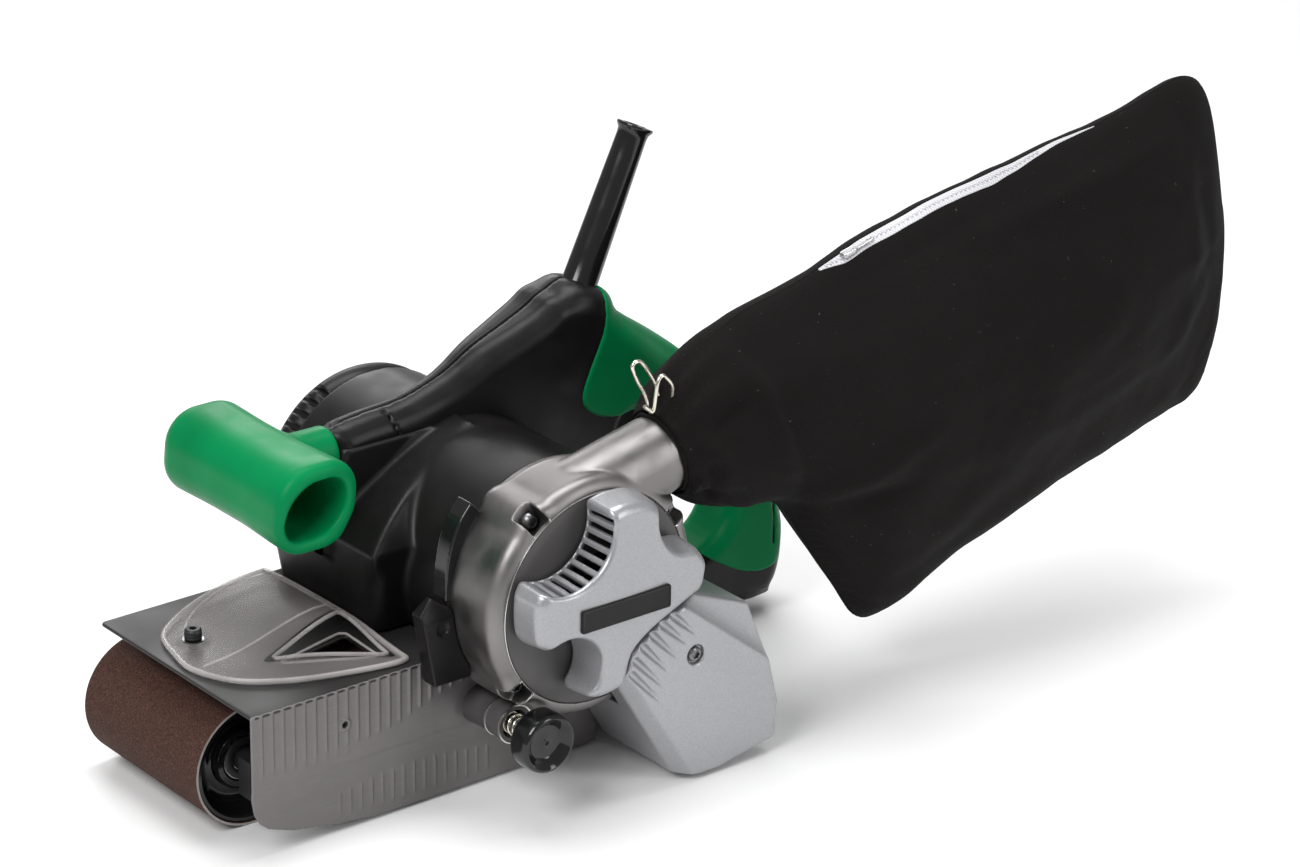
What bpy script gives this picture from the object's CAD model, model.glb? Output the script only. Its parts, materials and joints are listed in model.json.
import itertools
import json
from functools import reduce
from math import cos, dist, hypot, pi, radians, sin, sqrt, tan

import bpy
import numpy as np
from mathutils import Matrix, Vector, noise


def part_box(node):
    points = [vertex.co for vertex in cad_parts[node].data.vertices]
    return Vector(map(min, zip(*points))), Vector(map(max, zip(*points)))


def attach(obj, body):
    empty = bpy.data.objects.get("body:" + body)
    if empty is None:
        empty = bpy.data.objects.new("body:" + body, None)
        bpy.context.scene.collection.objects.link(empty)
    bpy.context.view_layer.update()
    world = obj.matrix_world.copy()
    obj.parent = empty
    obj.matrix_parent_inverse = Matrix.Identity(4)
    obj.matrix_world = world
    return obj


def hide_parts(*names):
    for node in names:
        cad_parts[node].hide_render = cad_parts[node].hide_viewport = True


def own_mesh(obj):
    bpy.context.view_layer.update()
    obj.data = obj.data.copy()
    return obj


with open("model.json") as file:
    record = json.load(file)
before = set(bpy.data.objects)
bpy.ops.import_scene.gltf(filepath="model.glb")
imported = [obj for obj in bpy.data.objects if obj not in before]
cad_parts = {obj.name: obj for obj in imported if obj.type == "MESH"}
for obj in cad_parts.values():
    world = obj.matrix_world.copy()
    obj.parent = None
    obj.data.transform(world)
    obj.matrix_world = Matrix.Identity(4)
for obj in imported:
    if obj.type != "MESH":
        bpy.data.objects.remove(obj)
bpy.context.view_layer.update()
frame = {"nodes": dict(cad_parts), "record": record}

MM = 0.001

# Shared sizes of the CAD model, in mm: the near side is at negative Y, the front at negative X.
MOTOR_X, MOTOR_Z = 48, 106
DRUM_R, MOTOR_R = 62, 58
FAN_FACE, FAN_BACK = -124, -84
COVER_FACE, COVER_BACK = -150, -126
BOX_FACE, SIDE_FACE = -145, -83.4
ROLLER_X, ROLLER_Z = 102.86, 32.2
KNOB_X, KNOB_Z = 7.5, 45.6
BAG_Y = -104
TILT = radians(14)
NOZZLE = Vector((58, BAG_Y, 150.1))
NOZZLE_WAY = Vector((cos(TILT), 0, sin(TILT)))
ARMOUR = Vector((130, 0, 204.5))
ARMOUR_TILT = radians(24.5)
ARMOUR_WAY = Vector((sin(ARMOUR_TILT), 0, cos(ARMOUR_TILT)))
SCREW_ANGLES = (32, 126, 222, 315)
SCREW_CIRCLE = 57
AXIS = 0.01  # a radius that counts as none
LEAF_SCREW_X, LEAF_SCREW_Y = -104, -2


# ---- materials
class Paint:
    """A node material on one Principled shader, patterned in the object's own space."""

    def __init__(self, name, rough=0.5, metal=0, **sockets):
        self.mat = bpy.data.materials.new(name)
        self.mat.use_nodes = True
        self.tree = self.mat.node_tree
        self.shader = self.tree.nodes["Principled BSDF"]
        for key, value in {"Roughness": rough, "Metallic": metal, **sockets}.items():
            self.feed(self.shader.inputs[key.replace("_", " ")], value)
        self.space = self.node("TexCoord").outputs["Object"]

    def feed(self, socket, value):
        """Links an output to the socket, or sets the socket's own value."""
        if hasattr(value, "is_linked"):
            self.tree.links.new(value, socket)
        else:
            socket.default_value = value

    def node(self, kind, **values):
        made = self.tree.nodes.new("ShaderNode" + kind)
        for key, value in values.items():
            if key in made.inputs:
                self.feed(made.inputs[key], value)
            else:
                setattr(made, key, value)
        return made

    def math(self, operation, a, b=0, clamp=False):
        made = self.node("Math", operation=operation, use_clamp=clamp)
        for socket, value in zip(made.inputs, (a, b)):
            self.feed(socket, value)
        return made.outputs[0]

    def noise(self, scale, detail=3, stretch=None, rough=0.5):
        where = self.node("Mapping", Vector=self.space, Scale=stretch).outputs[0] if stretch else self.space
        return self.node("TexNoise", Vector=where, Scale=scale, Detail=detail, Roughness=rough).outputs["Fac"]

    def cells(self, scale):
        """A random grey for each cell of a pattern."""
        flakes = self.node("TexVoronoi", Vector=self.space, Scale=scale)
        return self.node("RGBToBW", Color=flakes.outputs["Color"]).outputs[0]

    def bumps(self, scale):
        """The distance from the middle of each cell."""
        return self.node("TexVoronoi", Vector=self.space, Scale=scale).outputs["Distance"]

    def ramp(self, value, low=0, high=1, low_at=0, high_at=1):
        """The value spread between two levels."""
        ends = {"From Min": low_at, "From Max": high_at, "To Min": low, "To Max": high}
        return self.node("MapRange", Value=value, **ends).outputs[0]

    def cloud(self, scale, detail, low=0, high=1, low_at=0.3, high_at=0.7):
        """Noise spread between two levels."""
        return self.ramp(self.noise(scale, detail), low, high, low_at, high_at)

    def mix(self, share, dark, light):
        made = self.node("Mix", data_type="RGBA")
        for key, value in (("Factor", share), ("A", dark), ("B", light)):
            slot = next(s for s in made.inputs if s.name == key and s.enabled)
            self.feed(slot, (*value, 1) if isinstance(value, tuple) else value)
        return next(s for s in made.outputs if s.enabled)

    def shades(self, share, base, dark, light):
        return self.mix(share, tint(base, dark), tint(base, light))

    def wear(self, colour, worn, amount=0.5):
        """Paler, slightly rubbed edges where the surface is sharply convex."""
        edge = self.ramp(self.node("NewGeometry").outputs["Pointiness"], 0, amount, 0.52, 0.62)
        patchy = self.math("MULTIPLY", edge, self.cloud(180, 3, 0.2, 1, 0.35, 0.65), clamp=True)
        return self.mix(patchy, colour, worn)

    def done(self, colour, *reliefs, rough=None):
        """Links the colour, the roughness and the bump, a sum of patterns with their depths in mm."""
        self.feed(self.shader.inputs["Base Color"], colour)
        if rough is not None:
            self.feed(self.shader.inputs["Roughness"], rough)
        heights = [self.math("MULTIPLY", pattern, depth) for pattern, depth in reliefs]
        if heights:
            bump = self.node("Bump", Height=reduce(lambda a, b: self.math("ADD", a, b), heights), Distance=MM)
            bump.inputs["Strength"].default_value = 1
            self.feed(self.shader.inputs["Normal"], bump.outputs[0])
        return self.mat


def tint(colour, factor):
    return tuple(min(1, c * factor) for c in colour)


def plastic(name, base, rough, grain=0.03, worn=1.8, **sockets):
    """Moulded plastic or rubber: fine tool texture, cloudy colour, scuffed edges."""
    p = Paint(name, rough, **sockets)
    body = p.wear(p.shades(p.cloud(22, 4), base, 0.86, 1.14), tint(base, worn))
    return p.done(body, (p.noise(2500, 2), grain), (p.noise(90, 2), 0.02),
                  rough=p.cloud(60, 5, rough - 0.07, rough + 0.09))


def metal(name, base, rough, brushed=None, pits=0, metallic=1, worn=1.35):
    """Metal with cloudy reflections, and either a brushed grain or a cast skin."""
    p = Paint(name, rough, metallic)
    body = p.wear(p.shades(p.cloud(35, 5), base, 0.85, 1.12), tint(base, worn))
    if brushed:
        lines = p.noise(1, 4, stretch=brushed)
        return p.done(body, (lines, 0.02), rough=p.ramp(lines, rough - 0.08, rough + 0.12, 0.3, 0.7))
    skin_of_cast = [(p.noise(700, 3), pits), (p.noise(120, 2), pits)] if pits else []
    return p.done(body, *skin_of_cast, rough=p.cloud(70, 5, rough - 0.06, rough + 0.1))


def silver_paint():
    """Metallic paint over plastic: tiny flakes under a soft clear coat."""
    p = Paint("silver_paint", 0.34, 0.55, Coat_Weight=0.25, Coat_Roughness=0.25)
    grey = p.cells(2600)
    base = (0.37, 0.372, 0.388)
    body = p.shades(p.ramp(grey, low_at=0.1, high_at=0.9), base, 0.88, 1.16)
    body = p.wear(p.mix(p.cloud(18, 3, 0, 0.3), body, tint(base, 0.84)), tint(base, 1.3), 0.3)
    return p.done(body, (p.noise(1500, 2), 0.012), rough=p.ramp(grey, 0.28, 0.42))


def sheet_metal(name, base, shine=0.55):
    """Lacquered sheet steel: faint rolling lines, scuffs, brighter worn edges."""
    p = Paint(name, 0.42, shine, Specular_IOR_Level=0.3)
    lines = p.noise(1, 5, stretch=(25, 25, 1800))
    scuffs = p.ramp(p.noise(1, 6, stretch=(90, 90, 900)), low_at=0.55, high_at=0.8)
    body = p.mix(p.math("MULTIPLY", scuffs, 0.35), p.shades(p.cloud(14, 5), base, 0.88, 1.1),
                 tint(base, 1.35))
    return p.done(p.wear(body, tint(base, 2), 0.7), (lines, 0.012), (p.noise(900, 2), 0.01),
                  rough=p.ramp(lines, 0.34, 0.52, 0.3, 0.7))


def grit():
    """Coated abrasive: dark brown grains in resin; the cut edges show pale cloth backing."""
    p = Paint("abrasive_grit", 0.8, Specular_IOR_Level=0.18)
    base = (0.058, 0.026, 0.019)
    body = p.shades(p.ramp(p.cells(1500), low_at=0.2, high_at=0.95), base, 0.6, 1.7)
    body = p.mix(p.cloud(16, 4, 0, 0.5, 0.35, 0.7), body, tint(base, 0.75))
    fresh = p.cloud(2300, 1, low_at=0.66, high_at=0.74)
    body = p.mix(p.math("MULTIPLY", fresh, 0.6), body, (0.3, 0.2, 0.16))
    side = p.node("SeparateXYZ", Vector=p.node("NewGeometry").outputs["Normal"]).outputs["Y"]
    body = p.mix(p.ramp(p.math("ABSOLUTE", side), low_at=0.7, high_at=0.9), body, (0.36, 0.34, 0.33))
    return p.done(body, (p.bumps(1500), 0.22), (p.noise(600, 3), 0.12))


def cloth(name, base, rough, sheen, pitch, wrinkle):
    """Twill cloth: crossed diagonal threads worked out in the object's space, with dust and lint."""
    p = Paint(name, rough, Sheen_Weight=sheen, Sheen_Roughness=0.45, Specular_IOR_Level=0.12)
    x, y, z = p.node("SeparateXYZ", Vector=p.space).outputs
    across = p.math("ADD", x, p.math("MULTIPLY", y, 0.6))
    turns = 2 * pi / (pitch * MM)
    warp, weft, twill = (p.math("SINE", p.math("MULTIPLY", where, pace)) for where, pace in (
        (across, turns), (z, turns), (p.math("ADD", across, z), turns / 2)))
    threads = p.math("ADD", p.math("MULTIPLY", warp, weft), p.math("MULTIPLY", twill, 0.6))
    body = p.shades(p.ramp(threads, low_at=-1.4, high_at=1.4), base, 0.7, 1.5)
    body = p.mix(p.cloud(7, 5, 0, 0.55, 0.45, 0.8), body, tint(base, 1.7))
    lint = p.math("MULTIPLY", p.cloud(420, 2, low_at=0.74, high_at=0.8), 0.5)
    return p.done(p.mix(lint, body, (0.16, 0.155, 0.15)), (threads, 0.05),
                  (p.noise(24, 6, rough=0.6), wrinkle),
                  (p.noise(110, 4), wrinkle * 0.25))


def clear_plastic():
    """Smoky frosted plastic: thin, milky, with faint haze and moulding scuffs."""
    p = Paint("smoked_clear", 0.32, Alpha=0.2, Specular_IOR_Level=0.4)
    scratches = p.ramp(p.noise(1, 6, stretch=(60, 420, 200)), low_at=0.58, high_at=0.75)
    return p.done(p.shades(p.cloud(9, 3, low_at=0.35), (0.36, 0.325, 0.32), 1, 0.82),
                  (p.noise(260, 3), 0.012),
                  rough=p.ramp(scratches, 0.3, 0.5))


def clear_edge():
    """The moulded edges of the clear leaf, where the thicker plastic looks paler."""
    p = Paint("clear_edge", 0.22, Alpha=0.42, Specular_IOR_Level=0.6)
    return p.done(p.shades(p.cloud(60, 3, low_at=0.35), (0.62, 0.58, 0.57), 1, 0.8), (p.noise(300, 2), 0.01))


def cork():
    p = Paint("cork", 0.85)
    cells = p.bumps(420)
    body = p.mix(p.ramp(cells, low_at=0.1, high_at=0.7), (0.46, 0.3, 0.17), (0.22, 0.12, 0.06))
    return p.done(body, (cells, 0.2))


def pale_floor():
    p = Paint("floor", 0.7)
    return p.done(p.mix(p.cloud(3, 4), (0.86, 0.86, 0.86), (0.9, 0.9, 0.9)))


MATERIALS = {
    "dark_sheet": sheet_metal("dark_sheet", (0.165, 0.155, 0.155)),
    "cast_metal": metal("cast_metal", (0.235, 0.225, 0.222), 0.4, pits=0.01, worn=1.5),
    "frame_metal": metal("frame_metal", (0.3, 0.3, 0.31), 0.5, pits=0.05),
    "silver_plastic": silver_paint(),
    "face_plastic": plastic("face_grey", (0.062, 0.058, 0.058), 0.45),
    "black_plastic": plastic("black_plastic", (0.0068, 0.006, 0.0061), 0.38, 0.03, Specular_IOR_Level=0.26),
    "gloss_black": plastic("gloss_black", (0.008, 0.008, 0.0085), 0.13, 0.004),
    "green_rubber": plastic("green_rubber", (0.0002, 0.196, 0.061), 0.36, 0.012, 1.2,
                            Specular_IOR_Level=0.09),
    "black_rubber": plastic("black_rubber", (0.02, 0.02, 0.02), 0.7, 0.06),
    "steel": metal("steel", (0.5, 0.5, 0.51), 0.3, brushed=(60, 900, 900)),
    "wire_steel": metal("wire_steel", (0.8, 0.77, 0.66), 0.2, pits=0.004),
    "iron": metal("iron", (0.22, 0.22, 0.23), 0.5, brushed=(30, 1500, 30)),
    "brass": metal("brass", (0.75, 0.52, 0.22), 0.35, pits=0.01),
    "cork": cork(),
    "abrasive": grit(),
    "clear_plastic": clear_plastic(),
    "bag_cloth": cloth("bag_cloth", (0.0062, 0.0052, 0.005), 0.9, 0.02, 0.9, 0.6),
    "zip_tape": cloth("zip_tape", (0.5, 0.5, 0.52), 0.6, 0.1, 1.2, 0.05),
}
TOP_SHEET = sheet_metal("top_sheet", (0.028, 0.026, 0.026), 0.2)
DARK_SCREW = metal("dark_screw", (0.19, 0.19, 0.195), 0.28, pits=0.01)
CLEAR_EDGE = clear_edge()
BLACK_IRON = metal("black_iron", (0.035, 0.035, 0.037), 0.42, pits=0.01, metallic=0.6)
BRIGHT_EDGE = metal("bright_edge", (0.62, 0.61, 0.6), 0.25, pits=0.004)
SLOT_OF = {row["node"]: row["material_slot"] for row in frame["record"]["subparts"]}


def piece(obj, slot, *nodes, body="sander", look=None):
    """Gives a new piece its material, its body and the CAD nodes it stands for."""
    obj.data.materials.clear()
    obj.data.materials.append(look or MATERIALS[slot])
    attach(obj, body)
    if nodes:
        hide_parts(*nodes)
    return obj


def new_object(name, data):
    obj = bpy.data.objects.new(name, data)
    bpy.context.scene.collection.objects.link(obj)
    return obj


def mesh_object(name, points, faces, smooth=True):
    """A mesh from points in mm."""
    data = bpy.data.meshes.new(name)
    data.from_pydata((np.asarray(points, float) * MM).tolist(), [], faces)
    data.validate()
    data.polygons.foreach_set("use_smooth", [smooth] * len(data.polygons))
    data.update()
    return new_object(name, data)


# ---- distance fields (mm)
def hyp(*parts):
    return np.sqrt(sum(p * p for p in parts))


def mix(a, b, t):
    return a + (b - a) * t


def smooth(t):
    t = np.clip(t, 0, 1)
    return t * t * (3 - 2 * t)


def ease(v, start, reach):
    """Goes softly from 0 at the start to 1 after the reach."""
    return smooth((v - start) / reach)


def both(a, b, r=0):
    """Where both fields are inside, with the edge rounded by r."""
    if not r:
        return np.maximum(a, b)
    return np.minimum(np.maximum(a, b), -r) + hyp(np.maximum(a + r, 0), np.maximum(b + r, 0))


def either(a, b, r=0):
    """Where one of the fields is inside, with a fillet of r between them."""
    return -both(-a, -b, r)


def without(a, b, r=0):
    return both(a, -b, r)


def chamfered(a, b, width, r):
    """Where both fields are inside, with a flat facet along the edge between them."""
    return both(both(a, b, r), (a + b + width) * 0.7071, r)


def span(v, low, high):
    return np.maximum(low - v, v - high)


def from_motor(x, z):
    return hyp(x - MOTOR_X, z - MOTOR_Z)


def degrees_about(x, z, cx=MOTOR_X, cz=MOTOR_Z):
    return np.degrees(np.arctan2(z - cz, x - cx))


def near_line(x, z, start, end):
    """The distance to a line in X and Z, and how far along it the nearest point is."""
    (ax, az), (bx, bz) = start, end
    dx, dz = bx - ax, bz - az
    t = np.clip(((x - ax) * dx + (z - az) * dz) / (dx * dx + dz * dz), 0, 1)
    return hyp(x - ax - t * dx, z - az - t * dz), t


def inset(points, wall):
    """The closed outline moved inwards by wall."""
    pairs = list(zip(points, points[1:] + points[:1]))
    inward = wall if sum(x1 * y2 - x2 * y1 for (x1, y1), (x2, y2) in pairs) > 0 else -wall
    lines = []
    for (x1, y1), (x2, y2) in pairs:
        reach = hypot(x2 - x1, y2 - y1)
        a, b = (y1 - y2) / reach, (x2 - x1) / reach
        lines.append((a, b, a * x1 + b * y1 + inward))
    return [((c * e - b * f) / (a * e - b * d), (a * f - c * d) / (a * e - b * d))
            for (a, b, c), (d, e, f) in zip(lines[-1:] + lines, lines)]


def outline(u, v, points, r=0):
    """Signed distance to a closed outline in a plane; its outer corners are rounded by r."""
    corners = inset(points, r) if r else points
    nearest, flips = None, False
    for (ax, ay), (bx, by) in zip(corners, corners[1:] + corners[:1]):
        ex, ey = bx - ax, by - ay
        wu, wv = u - ax, v - ay
        t = np.clip((wu * ex + wv * ey) / (ex * ex + ey * ey), 0, 1)
        far = (wu - ex * t) ** 2 + (wv - ey * t) ** 2
        nearest = far if nearest is None else np.minimum(nearest, far)
        if ey:
            flips = flips ^ (((ay <= v) != (by <= v)) & (wu < ex * wv / ey))
    return np.where(flips, -1, 1) * np.sqrt(nearest) - r


def rounded_box(u, v, half_u, half_v, r):
    a, b = np.abs(u) - half_u + r, np.abs(v) - half_v + r
    return np.minimum(np.maximum(a, b), 0) + hyp(np.maximum(a, 0), np.maximum(b, 0)) - r


def curve_through(points, steps=6, closed=True):
    """A smooth line through hand-placed points."""
    points = np.array(points, float)
    count, made = len(points), []
    for i in range(count if closed else count - 1):
        places = np.arange(i - 1, i + 3)
        a, b, c, d = points[places % count if closed else np.clip(places, 0, count - 1)]
        for t in np.arange(steps) / steps:
            made.append(0.5 * (2 * b + (c - a) * t + (2 * a - 5 * b + 4 * c - d) * t ** 2
                               + (3 * b - a - 3 * c + d) * t ** 3))
    return [tuple(p) for p in made + ([] if closed else [points[-1]])]


def rod(x, y, z, start, end, r_start, r_end):
    """A round-ended cone from start to end."""
    sx, sy, sz = start
    dx, dy, dz = (e - s for s, e in zip(start, end))
    length = dx * dx + dy * dy + dz * dz
    t = np.clip(((x - sx) * dx + (y - sy) * dy + (z - sz) * dz) / length, 0, 1)
    return hyp(x - sx - dx * t, y - sy - dy * t, z - sz - dz * t) - (r_start + (r_end - r_start) * t)


def skin(name, field, low, high, step):
    """The zero surface of a field as a quad mesh: one point per cell that the surface crosses."""
    steps = np.array(step if hasattr(step, "__len__") else (step,) * 3, float)
    origin = np.array(low, float) - 1.5 * steps
    counts = np.ceil((np.array(high, float) - origin) / steps).astype(int) + 3
    x, y, z = (origin[i] + steps[i] * np.arange(counts[i]) for i in range(3))
    values = np.broadcast_to(field(x[:, None, None], y[None, :, None], z[None, None, :]),
                             counts).astype(np.float32)
    inside = values < 0
    corners = sum(inside[i:counts[0] - 1 + i, j:counts[1] - 1 + j, k:counts[2] - 1 + k].astype(np.int8)
                  for i, j, k in itertools.product((0, 1), repeat=3))
    active = (corners > 0) & (corners < 8)
    cells = np.argwhere(active)
    ids = np.full(active.shape, -1)
    ids[active] = np.arange(len(cells))
    unit = np.eye(3, dtype=int)
    total, hits = np.zeros((len(cells), 3)), np.zeros(len(cells))
    faces = []
    for axis in range(3):
        u, v = unit[(axis + 1) % 3], unit[(axis + 2) % 3]
        for shift in (0 * u, u, v, u + v):
            a = cells + shift
            b = a + unit[axis]
            va, vb = values[tuple(a.T)], values[tuple(b.T)]
            crossed = (va < 0) != (vb < 0)
            spot = a[crossed].astype(float)
            spot[:, axis] += va[crossed] / (va[crossed] - vb[crossed])
            total[crossed] += spot
            hits[crossed] += 1
        lead, tail = ([slice(a, b) if i == axis else slice(1, -1) for i in range(3)] for a,
                      b in ((0, -1), (1, None)))
        first, second = inside[tuple(lead)], inside[tuple(tail)]
        for mask, order in ((first & ~second, (0, 1, 2, 3)), (~first & second, (3, 2, 1, 0))):
            edge = np.argwhere(mask) + 1 - unit[axis]
            ring = [ids[tuple((edge - d).T)] for d in (u + v, v, 0 * u, u)]
            faces.append(np.stack([ring[i] for i in order], 1))
    points = total / hits[:, None] * steps + origin
    return mesh_object(name, points, np.concatenate(faces).tolist())


# ---- turned parts
def frame_of(way):
    """Two directions square to a direction, and the direction."""
    way = Vector(way).normalized()
    side = way.cross(Vector((0, 0, 1)))
    side = side.normalized() if side.length > 1e-3 else Vector((1, 0, 0))
    return side, way.cross(side).normalized(), way


def turned(at, axes, along, radius, angle):
    """The point at a distance along an axis, a radius and an angle."""
    side, up, way = axes
    return at + way * along + side * (radius * cos(angle)) + up * (radius * sin(angle))


def band_faces(rings, around, closed=False):
    """The quads between one ring of points and the next."""
    return [(i * around + k, i * around + (k + 1) % around, (i + 1) % rings * around + (k + 1) % around,
             (i + 1) % rings * around + k)
            for i in range(rings if closed else rings - 1) for k in range(around)]


def lathe(name, profile, at, way, segments=72, wobble=None, closed=False):
    """A profile of (distance along, radius), turned about an axis. An open profile gets flat ends, a closed
    one is a loop that stays clear of the axis; wobble changes a radius by angle."""
    at, axes = Vector(at), frame_of(way)
    turns = [2 * pi * k / segments for k in range(segments)]
    points = [turned(at, axes, along, radius * (wobble(along, radius, turn) if wobble else 1), turn)
              for along, radius in profile for turn in turns]
    faces = band_faces(len(profile), segments, closed)
    if not closed:
        last = (len(profile) - 1) * segments
        if profile[0][1] > AXIS:
            faces.append(tuple(reversed(range(segments))))
        if profile[-1][1] > AXIS:
            faces.append(tuple(range(last, last + segments)))
    obj = mesh_object(name, points, faces)
    obj.data.set_sharp_from_angle(angle=radians(38))
    return obj


def ring_lathe(*given):
    return lathe(*given, closed=True)


def wire(name, points, radius, closed=False, resolution=4):
    """A round wire along a smooth line, in mm."""
    data = bpy.data.curves.new(name, "CURVE")
    data.dimensions = "3D"
    data.bevel_depth = radius * MM
    data.bevel_resolution = resolution
    data.use_fill_caps = True
    spline = data.splines.new("POLY")
    spline.points.add(len(points) - 1)
    for slot, point in zip(spline.points, points):
        slot.co = (*(Vector(point) * MM), 1)
    spline.use_cyclic_u = closed
    spline.use_smooth = True
    return new_object(name, data)


def screw(name, at, way, radius, height, *nodes):
    """A button-head screw with a six-lobed socket."""
    socket = radius * 0.5

    def lobes(along, r, angle):
        return 1 + 0.14 * cos(6 * angle) if r <= socket * 1.01 and along > 0.01 else 1

    profile = [(0, radius * 0.9), (0.15 * height, radius), (0.45 * height, radius),
               (0.8 * height, radius * 0.9),
               (height, radius * 0.7), (height, socket), (0.45 * height, socket * 0.96),
               (0.42 * height, 0.001)]
    piece(lathe(name, profile, at, way, 48, lobes), "steel", *nodes, look=DARK_SCREW)


# ---- camera, light, floor
def studio():
    """The camera at the picture's viewing angle, a pale floor and soft lights."""
    scene = bpy.context.scene
    scene.view_settings.view_transform = "Standard"
    back = Vector((-0.5797, -0.7165, 0.3881)).normalized()
    level = Vector((0.7774, -0.629, 0)).normalized()
    upright, roll = back.cross(level), radians(0.905)
    right = level * cos(roll) + upright * sin(roll)
    top = upright * cos(roll) - level * sin(roll)
    data = bpy.data.cameras.new("view")
    data.lens, data.sensor_width, data.clip_end = 121.85, 36, 20
    scene.camera = camera = new_object("view", data)
    turned_to = Matrix((right, top, back)).transposed().to_4x4()
    camera.matrix_world = Matrix.Translation((-1.1453, -1.6388, 1.0042)) @ turned_to

    corners = [(x, y, 0) for x, y in ((-6e3, -6e3), (6e3, -6e3), (6e3, 6e3), (-6e3, 6e3))]
    floor = mesh_object("floor", corners, [(0, 1, 2, 3)], smooth=False)
    floor.data.materials.append(pale_floor())

    scene.world = world = bpy.data.worlds.new("studio")
    world.use_nodes = True
    sky = world.node_tree.nodes["Background"].inputs
    sky["Color"].default_value = (1, 1, 1, 1)
    sky["Strength"].default_value = 0.32

    target = Vector((0.15, -0.05, 0.1))
    for name, place, width, height, power in (
        ("key", (-1.3, -0.5, 1.5), 0.9, 0.9, 24),
        ("side", (0.9, -1.8, 0.9), 0.5, 1.4, 11),
        ("top", (0.3, 0.2, 2.2), 1.6, 1, 34),
        ("rim", (0.8, 1.6, 1), 1.2, 0.7, 12),
    ):
        lamp = bpy.data.lights.new(name, "AREA")
        lamp.shape = "RECTANGLE"
        lamp.size, lamp.size_y, lamp.energy = width, height, power
        light = new_object(name, lamp)
        light.location = place
        light.rotation_euler = (target - Vector(place)).to_track_quat("-Z", "Y").to_euler()


studio()


# ---- CAD parts that keep their shape
def carry_over():
    """Every CAD node gets the material of its slot; the small hard ones get soft edges."""
    nodes = frame["nodes"]
    for name, obj in nodes.items():
        obj.data.materials.clear()
        obj.data.materials.append(MATERIALS[SLOT_OF[name]])
    for name in ("trigger", "tension_lever", "frame_casting", "badge_plate", "tension_fork"):
        edges = nodes[name].modifiers.new("soft_edges", "BEVEL")
        edges.width, edges.segments = 0.5 * MM, 2
        edges.limit_method, edges.angle_limit = "ANGLE", radians(40)
    for name in ("tension_fork", "front_roller_shaft"):
        nodes[name].data.materials[0] = BLACK_IRON


# ---- motor and its end cap
def motor_body():
    """The motor shell: a drum that runs forward into a bow under the spine."""
    def field(x, y, z):
        r = from_motor(x, z)
        drum = both(both(r - MOTOR_R, FAN_BACK - y, 1.5), y - 62)
        climb = np.maximum(z - 122, 0)
        front = -32 + 0.1 * np.maximum(122 - z, 0) + 1.05 * climb + 0.016 * climb ** 2
        half = 52 - 0.16 * np.maximum(122 - z, 0) - 0.62 * climb
        soft, crisp = (both(front - x, -half - y, r) for r in (9, 2.2))
        corner = mix(soft, crisp, ease(z, 104, 16))
        bow = both(both(both(corner, y - half + 8, 6), x - 45), 77 - z, 1)
        body = either(drum, bow, 4)
        keel = both(both(-26 + 0.45 * (z - 150) - x, np.abs(y) - 13, 4), span(z, 110, 162))
        body = either(body, both(keel, x - 30), 4)
        return both(body, 67.6 - z, 1)
    piece(skin("motor_body", field, (-34, -84, 67), (107, 62, 165), 1.15), "black_plastic", "motor_housing")


def inlet_flange():
    """The black flange that shows as a strip beside the fan housing."""
    def field(x, y, z):
        r = from_motor(x, z)
        angle = degrees_about(x, z)
        reach = 65 + 5.5 * smooth((176 - angle) / 40)
        ring = both(span(r, 57, reach), span(y, -90, -79), 0.7)
        return both(ring, span(angle, 134, 178) * 1.1, 0.7)
    piece(skin("inlet_flange", field, (-22, -91, 104), (10, -78, 160), 0.7), "gloss_black")


def end_cap():
    """The rear cap with its round groove, a few air slots and the screws that hold it."""
    def field(x, y, z):
        r = from_motor(x, z)
        angle = degrees_about(x, z)
        cap = both(r - MOTOR_R + 0.02 * np.maximum(y - 62, 0) ** 1.6, span(y, 61.8, 84), 12)
        ring = both(np.abs(r - 33) - 0.9, 83.4 - y)
        cap = without(cap, ring, 0.5)
        for i in range(5):
            turn = np.abs(angle - 117 - 8 * i) * r * pi / 180
            cap = without(cap, both(both(turn - 1.5, 54 - r, 0.4), span(y, 64, 78.5), 0.8), 0.5)
        return both(cap, 67.8 - z, 1)
    piece(skin("end_cap", field, (-11, 60, 67), (107, 85, 165), 0.9), "black_plastic", "motor_end_cap")
    for i, angle in enumerate((30, 90, 150)):
        turn = radians(angle)
        spot = (MOTOR_X + 38 * cos(turn), 83.6, MOTOR_Z + 38 * sin(turn))
        screw("cap_screw_%d" % i, spot, (0, 1, 0), 3.8, 2.4, *["housing_screws"][i:])


# ---- spine, D handle and pads
HANDLE = [
    (-22, 169.5), (-4, 173.6), (21, 175.5), (46, 183), (64.5, 193), (83, 200.5), (98, 207), (108, 212.5),
    (124, 213), (138, 207), (150, 194), (176, 176), (199, 158), (220, 137), (240, 110), (256, 82), (265, 52),
    (265.5, 28), (259, 12), (246, 5.6), (146, 5.6), (140, 12), (139, 40), (139, 67.5), (118, 68.5), (96, 69),
    (94, 100), (80, 130), (60, 148), (20, 152), (-6, 153), (-22, 154),
]
FINGER_LOOP = [
    (150, 140), (143, 125), (131, 110), (129, 96), (138, 86), (152, 74), (154, 50), (164, 41), (188, 42),
    (208, 47), (221, 57), (226, 70), (224, 82), (214, 94), (198, 97), (188, 108), (176, 124), (168, 134),
               (160, 140),
]
UPPER_PAD = [(140, 214), (133, 190), (122, 166), (121, 154), (130, 146), (146, 142), (170, 142), (196, 142),
             (222, 152), (205, 184), (170, 208)]
LOWER_PAD = [(196, 122), (184, 108), (190, 70), (203, 49), (214, 40), (230, 31), (244, 28), (254, 32),
             (258, 44), (260, 56), (254, 78), (240, 104), (222, 128)]


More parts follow.
